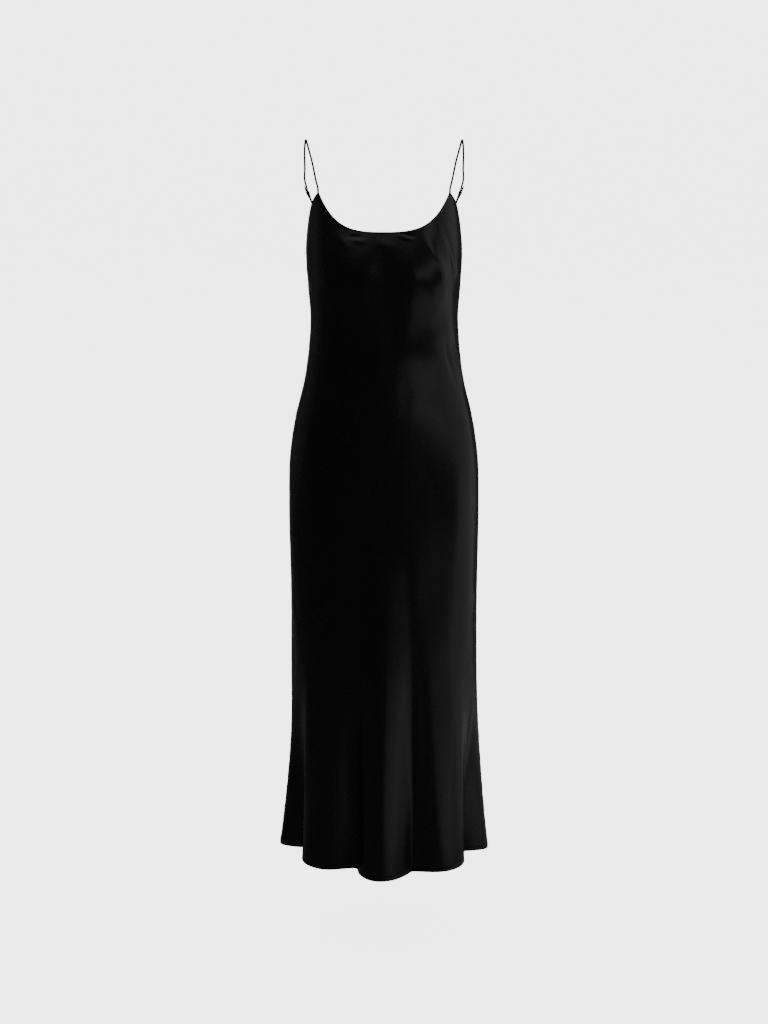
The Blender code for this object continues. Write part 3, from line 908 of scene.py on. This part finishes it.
def back_turns():
    """Turns of the back's columns, crowded towards both side seams."""
    middle = np.linspace(BACK_POINT_TURN, 360.0 - BACK_POINT_TURN, BACK_COLUMNS + 1)
    side = np.linspace(SIDE_TURN + SEAM_COLUMNS[0], BACK_POINT_TURN, SIDE_COLUMNS + 1)[1:-1]
    side = np.concatenate((SIDE_TURN + np.array(SEAM_COLUMNS[::-1]), side))
    return np.concatenate((side, middle, 360.0 - side[::-1]))


def edge_rise(turn):
    """How much higher than wide the binding stands where its edge is steep."""
    step = 1.0
    arc = np.radians(step) * section_reach(turn, np.full_like(turn, NECK_DROP))
    here = top_drop(turn)
    slope = np.maximum(
        np.abs(top_drop(turn + step) - here),
        np.abs(here - top_drop(turn - step)),
    ) / arc
    return np.minimum(np.sqrt(1.0 + slope ** 2), STEEPEST_BINDING)


def panel_drops(turns):
    """Drops of a panel's rows: close together near its top edge and near its hem.

    Between them a row's share of the way is t - c sin(2 pi t) / (2 pi), which crowds both
    ends, and the last rows lie at set heights above the hem.
    """
    t = np.linspace(0.0, 1.0, PANEL_ROWS + 1)[:, None]
    share = t - ROW_CROWDING * np.sin(2.0 * math.pi * t) / (2.0 * math.pi)
    top = top_drop(turns) + PANEL_START * BINDING_WIDTH * edge_rise(turns)
    hem = hem_drop(turns)
    long_rows = top + share * (hem - HEM_ROWS[0] - top)
    return np.concatenate((long_rows, hem - np.array(HEM_ROWS[1:])[:, None]))


def panel_piece(name, turns, cloth):
    """Satin wall: the face with its relief, and the reverse a cloth's thickness inside it.

    The reverse steps inwards over the turned hem.
    """
    drop = panel_drops(turns)
    turn = np.broadcast_to(turns, drop.shape)
    doubled = doubled_share(hem_drop(turn) - drop, cloth)
    outer = face_point(turn, drop, cloth)
    inner = face_point(turn, drop, cloth, cloth.wall + cloth.hem_fold * doubled)
    rows, columns = drop.shape
    face = grid_faces(rows, columns)
    index = np.arange(rows * columns).reshape(rows, columns)
    rim = np.concatenate((index[0, :-1], index[:-1, -1], index[-1, :0:-1], index[:, 0][::-1]))
    behind = rim + rows * columns
    edge = np.stack((rim[:-1], rim[1:], behind[1:], behind[:-1]), axis=-1)
    reverse = face[:, ::-1] + rows * columns
    slots = np.repeat((0, 0, 1), (len(face), len(edge), len(reverse)))
    pattern = cut_coordinates(outer)
    return add_piece(
        name,
        np.stack((outer, inner)),
        (face, edge, reverse),
        ("satin_face", "satin_reverse"),
        np.stack((pattern, pattern)),
        slots,
    )


def edge_frames(turns):
    """Even points along the finished top edge, its outward normals and the way down."""
    drops = top_drop(turns)
    edge = cloth_point(turns, drops)
    run = run_lengths(edge, axis=0)
    place = np.linspace(0.0, run[-1], int(round(run[-1] / EDGE_SPACING)) + 1)
    path = read_along(edge, run, place)
    facing, down = path_frames(path, read_along(cloth_normal(turns, drops), run, place))
    return path, facing, down


def binding_profile(depth, path):
    """Section of a binding for each point of its path, as depth out and width down.

    A squared ellipse, with a stitch groove near its lower edge on the outer side.  Its
    depth swells and sinks a little along the edge, as a fed binding does.
    """
    angle = circle_angles(PROFILE_POINTS)
    reach = (np.abs(np.cos(angle)) ** 2.6 + np.abs(np.sin(angle)) ** 2.6) ** (-1.0 / 2.6)
    out = 0.5 * depth * reach * np.cos(angle)
    down = 0.5 * BINDING_WIDTH * reach * np.sin(angle)
    stitch_line = (STITCH_LINE - 0.5) * BINDING_WIDTH
    groove = np.exp(-((down - stitch_line) / GROOVE_WIDTH) ** 2) * (out > 0.0)
    length = run_lengths(path, axis=0)[:, None]
    feed = 1.0 + 0.07 * np.sin(length * 890.0) * np.sin(length * 133.0 + 1.0)
    out = (out - 0.00022 * groove) * feed
    return np.stack((out, np.broadcast_to(down, out.shape)), axis=-1)


def binding_piece(name, turns, cloth):
    """Folded satin band along a stretch of the top edge, closed at both ends."""
    path, facing, down = edge_frames(turns)
    middle = path + 0.5 * BINDING_WIDTH * down - 0.5 * cloth.wall * facing
    profile = binding_profile(cloth.binding_depth, middle)
    return tube_piece(name, middle, facing, profile, "satin_binding")


def binding_stitches(name, turns, cloth):
    """Edge stitching in the binding's groove."""
    path, facing, down = edge_frames(turns)
    height = 0.5 * (cloth.binding_depth - cloth.wall) - 0.00012
    line = path + STITCH_LINE * BINDING_WIDTH * down + height * facing
    return stitch_mesh(name, line, facing, cloth.stitch, 0.0005, cloth.thread)


def hem_stitches(name, turns, cloth):
    """One row of stitches in the groove above the turned hem."""
    turn = np.linspace(turns[0], turns[-1], 900)
    drop = hem_drop(turn) - cloth.hem_width
    line = face_point(turn, drop, cloth)
    facing = cloth_normal(turn, drop)
    return stitch_mesh(name, line, facing, cloth.stitch * 1.15, 0.0006, cloth.thread)


EDGE_STRETCHES = {
    "neck": np.linspace(-PEAK_TURN, PEAK_TURN, 400),
    "left_armhole": np.linspace(PEAK_TURN, BACK_POINT_TURN, 300),
    "right_armhole": np.linspace(-BACK_POINT_TURN, -PEAK_TURN, 300),
    "back": np.linspace(BACK_POINT_TURN, 360.0 - BACK_POINT_TURN, 400),
}


class DRESS_OT_panels(bpy.types.Operator):
    """Make the front and the back of satin, seamed at the sides and hemmed"""

    bl_idname = "slip_dress.panels"
    bl_label = "Make Panels"

    def execute(self, context):
        cloth = context.scene.slip_dress_cloth
        make_materials()
        for name, turns, node in (
            ("front_satin", front_turns(), "front_panel"),
            ("back_satin", back_turns(), "back_panel"),
        ):
            piece = finish_piece(panel_piece(name, turns, cloth), "satin", node)
            stitches = hem_stitches(f"{name}_hem_stitches", turns, cloth)
            finish_piece(stitches, "satin")
        return {"FINISHED"}


class DRESS_OT_bindings(bpy.types.Operator):
    """Bind the neck, the armholes and the back with narrow folded satin"""

    bl_idname = "slip_dress.bindings"
    bl_label = "Make Bindings"

    def execute(self, context):
        cloth = context.scene.slip_dress_cloth
        make_materials()
        for place, turns in EDGE_STRETCHES.items():
            piece = binding_piece(f"{place}_edge", turns, cloth)
            finish_piece(piece, "binding", f"{place}_binding")
            stitches = binding_stitches(f"{place}_edge_stitches", turns, cloth)
            finish_piece(stitches, "binding")
        return {"FINISHED"}


# ---------------------------------------------------------------- straps and hardware


Layout = namedtuple("Layout", "back along outward across ring bend beside slider")


def mirrored(points, side):
    """The same points on the wearer's left (1) or right (-1)."""
    return points * np.array((side, 1.0, 1.0))


def strap_layout():
    """Places of the left strap's taut end, which rises from the back edge in one line."""
    back = cloth_point(np.array(BACK_POINT_TURN), np.array(BACK_POINT_DROP))
    back = back - BACK_FACING * SOLID_CLOTH / 2.0
    along = unit(STRAP_AT_SLIDER - back)
    outward = unit(BACK_FACING - (BACK_FACING @ along) * along)
    beside = STRAP_RADIUS + SLIDER_THICKNESS / 2.0 + SEAM_GAP
    return Layout(
        back=back,
        along=along,
        outward=outward,
        across=np.cross(outward, along),
        ring=back + along * RING_STANDOFF,
        bend=STRAP_RADIUS + RING_WIRE + SEAM_GAP,
        beside=beside,
        slider=STRAP_AT_SLIDER + outward * beside,
    )


def half_turn(centre, start, over, reach):
    """Half circle: centre + reach (cos a * start + sin a * over) for a from 0 to pi."""
    angle = np.linspace(0.0, math.pi, BEND_POINTS)[:, None]
    return centre + reach * (np.cos(angle) * start + np.sin(angle) * over)


def threaded(points, layout):
    """Moves a strap's line outwards where it crosses the slider's middle bar.

    The move is a cosine squared of the distance along the strap from the bar, and it
    fades to nothing before the end bars, which the strap passes on the inner side.
    """
    away = (points - STRAP_AT_SLIDER) @ layout.along
    out = (points - STRAP_AT_SLIDER) @ layout.outward
    reach = 0.5 * SLIDER_HEIGHT - 1.3 * SLIDER_BAR
    hump = np.cos(0.5 * math.pi * np.clip(away / reach, -1.0, 1.0)) ** 2
    height = layout.beside + 0.5 * SLIDER_THICKNESS + 0.75 * STRAP_RADIUS
    near = (np.abs(out) < STRAP_RADIUS)[:, None]
    return points + near * (hump * height)[:, None] * layout.outward


def strap_line(layout):
    """The strap's own line, from inside the front peak over the shoulder to the slider."""
    turn, drop = np.array(PEAK_TURN), np.array(PEAK_DROP)
    peak = cloth_point(turn, drop)
    root = cloth_point(turn, drop + ROOT_DEPTH) - cloth_normal(turn, drop) * ROOT_INSET
    straight = STRAP_AT_SLIDER + layout.along * SLIDER_HEIGHT
    route = [root, peak + STRAP_START, *STRAP_ROUTE, straight, STRAP_AT_SLIDER]
    return threaded(smooth_route(route, STRAP_RINGS), layout)


def loop_line(layout):
    """The doubled strap: down to the ring, round it and up over the slider's lower bar."""
    along, outward = layout.along, layout.outward
    ring_top = layout.ring + along * RING_RADIUS
    bar = layout.slider - along * (0.5 * SLIDER_HEIGHT - 0.5 * SLIDER_BAR)
    clear = 0.5 * SLIDER_THICKNESS + 0.85 * STRAP_RADIUS
    down = np.linspace(STRAP_AT_SLIDER, ring_top - outward * layout.bend, 70)[:-1]
    bend = half_turn(ring_top, -outward, -along, layout.bend)
    rise = [
        bar - along * 0.0045,
        bar - along * 0.0020 + outward * (0.55 * clear),
        bar + outward * clear,
        bar + along * 0.0017 + outward * (0.75 * clear),
    ]
    up = smooth_route([bend[-1], bend[-1] + along * 0.002, *rise], 50)[1:]
    return threaded(np.concatenate((down, bend, up)), layout)


def tab_line(layout):
    """The ring tab: up inside the back edge, over the ring's wire and down outside it."""
    along, outward = layout.along, layout.outward
    ring_bottom = layout.ring - along * RING_RADIUS
    foot = layout.back - along * 0.0030
    inside = foot - outward * (layout.bend - 0.0002)
    outside = foot + outward * (layout.bend - 0.0002)
    bend = half_turn(ring_bottom, -outward, along, layout.bend)
    return even_path(np.concatenate(([inside], bend, [outside])), 0.0005)


def ring_piece(name, layout, side):
    """Wire ring: a torus, with one circle's angle carried round the other's."""
    a = circle_angles(RING_STEPS)[:, None, None]
    b = circle_angles(RING_TUBE_STEPS)[:, None]
    spoke = np.cos(a) * layout.across + np.sin(a) * layout.along
    points = layout.ring + (RING_RADIUS + RING_WIRE * np.cos(b)) * spoke
    points = points + RING_WIRE * np.sin(b) * layout.outward
    faces = grid_faces(RING_STEPS + 1, RING_TUBE_STEPS, wrap=True)
    faces = faces % (RING_STEPS * RING_TUBE_STEPS)
    if side > 0:
        faces = faces[:, ::-1]
    return add_piece(name, mirrored(points, side), [faces], ["black_enamel"])


def slider_piece(name, layout, side):
    """Slider: a flat plate with two windows and a middle bar, its bars rounded.

    The plate is a grid of bar edges by bar edges with two of its cells left out, once in
    front and once behind, and walls stand where a kept cell has no neighbour.
    """
    half, tall = 0.5 * SLIDER_WIDTH, 0.5 * SLIDER_HEIGHT
    across = np.array((-half, -half + SLIDER_BAR, half - SLIDER_BAR, half))
    upward = np.array((
        -tall, -tall + SLIDER_BAR, -0.5 * SLIDER_BAR, 0.5 * SLIDER_BAR, tall - SLIDER_BAR, tall,
    ))
    kept = np.ones((5, 3), bool)
    kept[(1, 3), 1] = False
    u, v = np.meshgrid(across, upward)
    corner = (np.abs(u) == half) & (np.abs(v) == tall)
    u = np.where(corner, u * CORNER_ACROSS, u)
    v = np.where(corner, v * CORNER_ALONG, v)
    flat = layout.slider + u[..., None] * layout.across + v[..., None] * layout.along
    out = 0.5 * SLIDER_THICKNESS * layout.outward
    points = np.stack((flat + out, flat - out))
    behind = u.size
    cells = grid_faces(*u.shape).reshape(*kept.shape, 4)
    front = cells[kept]
    padded = np.pad(kept, 1)
    walls = []
    for row, column, first, last in ((0, 1, 3, 0), (2, 1, 1, 2), (1, 0, 0, 1), (1, 2, 2, 3)):
        beside = padded[row:row + 5, column:column + 3]
        open_side = cells[kept & ~beside]
        start, end = open_side[:, first], open_side[:, last]
        walls.append(np.stack((end, start, start + behind, end + behind), axis=-1))
    faces = np.concatenate((front, front[:, ::-1] + behind, *walls))
    if side < 0:
        faces = faces[:, ::-1]
    piece = add_piece(name, mirrored(points, side), [faces], ["black_enamel"])
    bevel = piece.modifiers.new("rounded", "BEVEL")
    bevel.width = 0.00045
    bevel.segments = 4
    bevel.limit_method = "ANGLE"
    bevel.harden_normals = False
    return piece


def bartack(name, layout, side):
    """Short bar of close zigzag stitches that hold the ring tab's outer end."""
    centre = layout.back - layout.along * 0.0020 + layout.outward * (layout.bend + STRAP_RADIUS)
    steps = np.linspace(-0.0014, 0.0014, 9)[:, None]
    zigzag = np.where(np.arange(9) % 2, 0.0011, -0.0011)[:, None]
    line = centre + steps * layout.along + zigzag * layout.across
    line = even_path(mirrored(line, side), 0.0004)
    out = np.broadcast_to(mirrored(layout.outward, side), line.shape)
    return stitch_mesh(name, line, out, 0.0019, 0.0001, 0.00014)


class DRESS_OT_straps(bpy.types.Operator):
    """Make both rouleau straps, doubled round their rings, and the ring tabs"""

    bl_idname = "slip_dress.straps"
    bl_label = "Make Straps"

    def execute(self, context):
        make_materials()
        layout = strap_layout()
        profile = rouleau_profile()
        for name, side in (("left", 1), ("right", -1)):
            aside = mirrored(layout.across, side)
            for label, line, node, reference in (
                ("rouleau", strap_line(layout), "strap", mirrored(-layout.across, side)),
                ("rouleau_loop", loop_line(layout), "strap_loop", aside),
                ("rouleau_tab", tab_line(layout), "ring_tab", aside),
            ):
                path = mirrored(line, side)
                length = run_lengths(path, axis=0)[:, None, None]
                plump = 1.0 + 0.02 * np.sin(length * 410.0) * np.sin(length * 93.0 + side)
                section = profile * plump
                piece = tube_piece(f"{name}_{label}", path, reference, section, "satin_rouleau")
                finish_piece(piece, "rouleau", f"{name}_{node}")
            finish_piece(bartack(f"{name}_tab_bartack", layout, side), "rouleau")
        return {"FINISHED"}


class DRESS_OT_hardware(bpy.types.Operator):
    """Make the enamelled rings and sliders"""

    bl_idname = "slip_dress.hardware"
    bl_label = "Make Hardware"

    def execute(self, context):
        make_materials()
        layout = strap_layout()
        for name, side in (("left", 1), ("right", -1)):
            ring = ring_piece(f"{name}_wire_ring", layout, side)
            finish_piece(ring, "hardware", f"{name}_ring")
            slider = slider_piece(f"{name}_strap_slider", layout, side)
            finish_piece(slider, "hardware", f"{name}_slider")
        return {"FINISHED"}


# ---------------------------------------------------------------- stage


# Softboxes: each has its middle, the place that it faces, its width and height, its power
# and its colour.
WHITE = (1.0, 1.0, 1.0)
PALE_ROSE_WHITE = (1.0, 0.98, 1.0)
ROSE_WHITE = (1.0, 0.97, 1.0)
COOL_WHITE = (0.98, 0.97, 1.0)
Softbox = namedtuple("Softbox", "name place aim width height power colour")
SOFTBOXES = (
    Softbox("side_box", (2.18, 0.27, -0.20), (0.0, 0.0, -0.20), 2.6, 2.35, 7.0, ROSE_WHITE),
    Softbox("side_reflector", (1.55, 0.1, -1.38), (1.55, 0.1, 0.0), 1.8, 2.2, 2.0, ROSE_WHITE),
    Softbox("breast_box", (1.35, -1.61, -0.06), (0.0, 0.0, -0.42), 1.9, 0.42, 1.4, ROSE_WHITE),
    Softbox("low_box", (1.48, -1.48, -1.22), (0.0, 0.0, -0.95), 2.0, 0.32, 0.55, COOL_WHITE),
    Softbox("low_reflector", (1.0, -1.0, -1.38), (1.0, -1.0, 0.0), 1.3, 1.3, 1.2, COOL_WHITE),
    Softbox("corner_box", (1.50, -1.30, 1.00), (0.0, 0.0, -0.10), 0.8, 0.7, 1.1, PALE_ROSE_WHITE),
    Softbox("high_box", (-0.45, -2.1, 1.25), (0.0, 0.0, -0.40), 1.9, 0.8, 1.5, WHITE),
    Softbox("left_fill", (-2.07, 0.75, -0.10), (0.0, 0.0, -0.20), 1.6, 1.2, 0.34, WHITE),
    Softbox("far_box", (-0.4, 2.35, -0.30), (0.0, 0.0, -0.60), 1.1, 2.2, 1.7, WHITE),
)
SWEEP_BEND = 1.5
SWEEP_TOP = 6.0


def paper_sweep(stage):
    """Bowl of paper: a profile turned about the dress, flat, then a quarter round, then up."""
    level = CAD_BOX[0][2] - stage.floor_gap
    flat = np.linspace(0.0, stage.floor_radius, SWEEP_RINGS)[1:]
    bend = np.linspace(0.0, 0.5 * math.pi, SWEEP_RINGS)[1:]
    wall = stage.floor_radius + SWEEP_BEND
    reach = np.concatenate((flat, stage.floor_radius + SWEEP_BEND * np.sin(bend), [wall]))
    rise = np.concatenate((0.0 * flat, SWEEP_BEND * (1.0 - np.cos(bend)), [SWEEP_TOP]))
    reach, rise = reach[:, None], rise[:, None]
    angle = circle_angles(SWEEP_STEPS)
    height = level + rise + 0.0 * angle
    points = np.stack((reach * np.cos(angle), reach * np.sin(angle), height), axis=-1)
    middle = np.array([[0.0, 0.0, level]])
    faces = grid_faces(*points.shape[:2], wrap=True) + 1
    start = np.arange(SWEEP_STEPS) + 1
    fan = np.stack((0 * start, start, np.roll(start, -1)), axis=-1)
    paper_material("studio_paper", stage)
    points = np.concatenate((middle, points.reshape(-1, 3)))
    return add_piece("paper_sweep", points, (faces, fan), ["studio_paper"])


def add_softbox(box):
    lamp = bpy.data.lights.new(box.name, "AREA")
    lamp.shape = "RECTANGLE"
    lamp.size = box.width
    lamp.size_y = box.height
    lamp.energy = box.power
    lamp.color = box.colour
    item = bpy.data.objects.new(box.name, lamp)
    item.location = box.place
    facing = Vector(box.aim) - Vector(box.place)
    item.rotation_euler = facing.to_track_quat("-Z", "Y").to_euler()
    item.visible_camera = False
    bpy.context.scene.collection.objects.link(item)


def set_world(stage):
    """Pale round the edges for the lens, and dim for everything else."""
    world = bpy.data.worlds.new("studio")
    world.use_nodes = True
    tree = world.node_tree
    tree.nodes.clear()
    pale, dim = (tree.nodes.new("ShaderNodeBackground") for _ in range(2))
    for shade in (pale, dim):
        shade.inputs["Color"].default_value = tinted(stage.paper_colour, 1.0)
    dim.inputs["Strength"].default_value = stage.world_glow
    show_to_lens(tree, pale, dim, tree.nodes.new("ShaderNodeOutputWorld"))
    bpy.context.scene.world = world


def add_camera(stage):
    lens = bpy.data.cameras.new("lens")
    lens.lens = stage.lens
    camera = bpy.data.objects.new("camera", lens)
    camera.location = (0.0, -stage.camera_distance, stage.camera_height)
    camera.rotation_euler = (0.5 * math.pi - stage.camera_tilt, 0.0, 0.0)
    bpy.context.scene.collection.objects.link(camera)
    bpy.context.scene.camera = camera


class DRESS_OT_stage(bpy.types.Operator):
    """Lay the pale floor, light the dress and place the camera"""

    bl_idname = "slip_dress.stage"
    bl_label = "Make Stage"

    def execute(self, context):
        stage = context.scene.slip_dress_stage
        paper_sweep(stage)
        for box in SOFTBOXES:
            add_softbox(box)
        set_world(stage)
        add_camera(stage)
        return {"FINISHED"}


# ---------------------------------------------------------------- add-on


class DRESS_PT_tools(bpy.types.Panel):
    """Buttons and settings of the dress"""

    bl_label = "Slip Dress"
    bl_idname = "DRESS_PT_tools"
    bl_space_type = "VIEW_3D"
    bl_region_type = "UI"
    bl_category = "Slip Dress"

    def draw(self, context):
        layout = self.layout
        for operator in OPERATORS:
            layout.operator(operator.bl_idname)
        for group in (
            context.scene.slip_dress_cloth,
            context.scene.slip_dress_finish,
            context.scene.slip_dress_stage,
        ):
            box = layout.box()
            for name in group.__annotations__:
                box.prop(group, name)


OPERATORS = (
    DRESS_OT_stage,
    DRESS_OT_panels,
    DRESS_OT_bindings,
    DRESS_OT_straps,
    DRESS_OT_hardware,
)
CLASSES = (ClothSettings, FinishSettings, StageSettings, *OPERATORS, DRESS_PT_tools)


def register():
    for item in CLASSES:
        bpy.utils.register_class(item)
    scene = bpy.types.Scene
    scene.slip_dress_cloth = bpy.props.PointerProperty(type=ClothSettings)
    scene.slip_dress_finish = bpy.props.PointerProperty(type=FinishSettings)
    scene.slip_dress_stage = bpy.props.PointerProperty(type=StageSettings)


def unregister():
    del bpy.types.Scene.slip_dress_stage
    del bpy.types.Scene.slip_dress_finish
    del bpy.types.Scene.slip_dress_cloth
    for item in reversed(CLASSES):
        bpy.utils.unregister_class(item)


def main():
    register()
    bpy.ops.slip_dress.stage()
    bpy.ops.slip_dress.panels()
    bpy.ops.slip_dress.bindings()
    bpy.ops.slip_dress.straps()
    bpy.ops.slip_dress.hardware()


if __name__ == "__main__":
    main()
